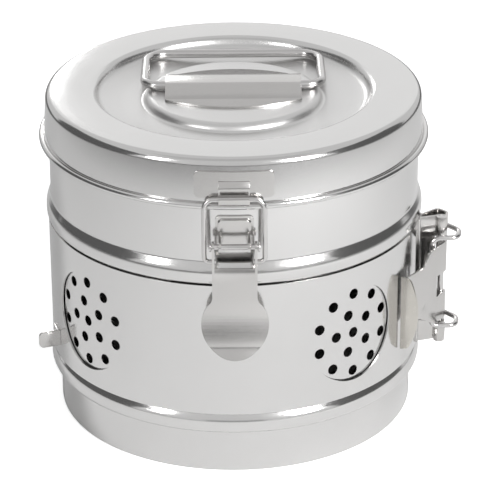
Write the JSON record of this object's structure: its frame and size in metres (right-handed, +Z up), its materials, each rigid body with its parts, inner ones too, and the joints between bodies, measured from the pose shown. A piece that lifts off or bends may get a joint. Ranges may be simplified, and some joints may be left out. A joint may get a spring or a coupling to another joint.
{
  "type": "sterilization drum",
  "caption": "Round stainless steel dressing drum with a hinged lid, folding handle, sliding vent band, band clamp and over-centre front latch.",
  "frame": {"origin": "centre of the foot ring, on the surface the drum stands on", "axes": "+Z up along the drum's axis, -Y towards the front latch, +X towards the band clamp"},
  "size_m": [0.1855, 0.1846, 0.1483],
  "materials": {
    "shell_steel": "polished stainless steel, fine circumferential polishing lines",
    "band_steel": "polished stainless steel strip, fine lines along the band",
    "bracket_steel": "pressed stainless steel, tumbled satin",
    "thumb_steel": "pressed stainless steel, warm satin",
    "wire_steel": "bright drawn stainless wire"
  },
  "bodies": {
    "drum": {"drum_shell": "shell_steel", "drum_bottom": "shell_steel", "latch_base": "bracket_steel", "latch_pin": "wire_steel", "hinge_drum_leaf": "bracket_steel", "hinge_pin": "wire_steel"},
    "vent_band": {"vent_band": "band_steel", "band_tab": "bracket_steel", "clamp_base": "bracket_steel", "clamp_pin": "wire_steel", "clamp_catch": "bracket_steel"},
    "clamp_lever": {"clamp_lever": "bracket_steel", "clamp_thumb_plate": "thumb_steel", "clamp_sleeves": "bracket_steel"},
    "clamp_link": {"clamp_link": "wire_steel"},
    "lid": {"lid_shell": "shell_steel", "lid_keeper": "bracket_steel", "handle_retainer": "bracket_steel", "hinge_lid_leaf": "bracket_steel"},
    "handle": {"lid_handle": "wire_steel"},
    "latch_lever": {"latch_lever": "bracket_steel"},
    "latch_bail": {"latch_bail": "wire_steel"}
  },
  "joints": [
    {"name": "lid_hinge", "type": "hinge", "parent": "drum", "child": "lid", "pos_m": [0, 0.088, 0.1267], "axis": [-1, 0, 0], "range_deg": [0, 110]},
    {"name": "handle_swing", "type": "hinge", "parent": "lid", "child": "handle", "pos_m": [0, 0.0023, 0.14535], "axis": [1, 0, 0], "range_deg": [0, 184]},
    {"name": "latch_swing", "type": "hinge", "parent": "drum", "child": "latch_lever", "pos_m": [0, -0.0882, 0.1103], "axis": [-1, 0, 0], "range_deg": [0, 90]},
    {"name": "bail_swing", "type": "hinge", "parent": "latch_lever", "child": "latch_bail", "pos_m": [0, -0.0866, 0.103], "axis": [-1, 0, 0], "range_deg": [-71, 0]},
    {"name": "band_turn", "type": "hinge", "parent": "drum", "child": "vent_band", "pos_m": [0, 0, 0.0591], "axis": [0, 0, 1], "range_deg": [0, 45]},
    {"name": "clamp_swing", "type": "hinge", "parent": "vent_band", "child": "clamp_lever", "pos_m": [0.09066, -0.01307, 0.0591], "axis": [0, 0, 1], "range_deg": [0, 150]},
    {"name": "link_swing", "type": "hinge", "parent": "clamp_lever", "child": "clamp_link", "pos_m": [0.08635, -0.01859, 0.0591], "axis": [0, 0, 1], "range_deg": [-180, 0]}
  ],
  "couplings": [
    {"joint": "bail_swing", "follows": "latch_swing", "ratio": -0.786},
    {"joint": "link_swing", "follows": "clamp_swing", "ratio": -1.2}
  ]
}
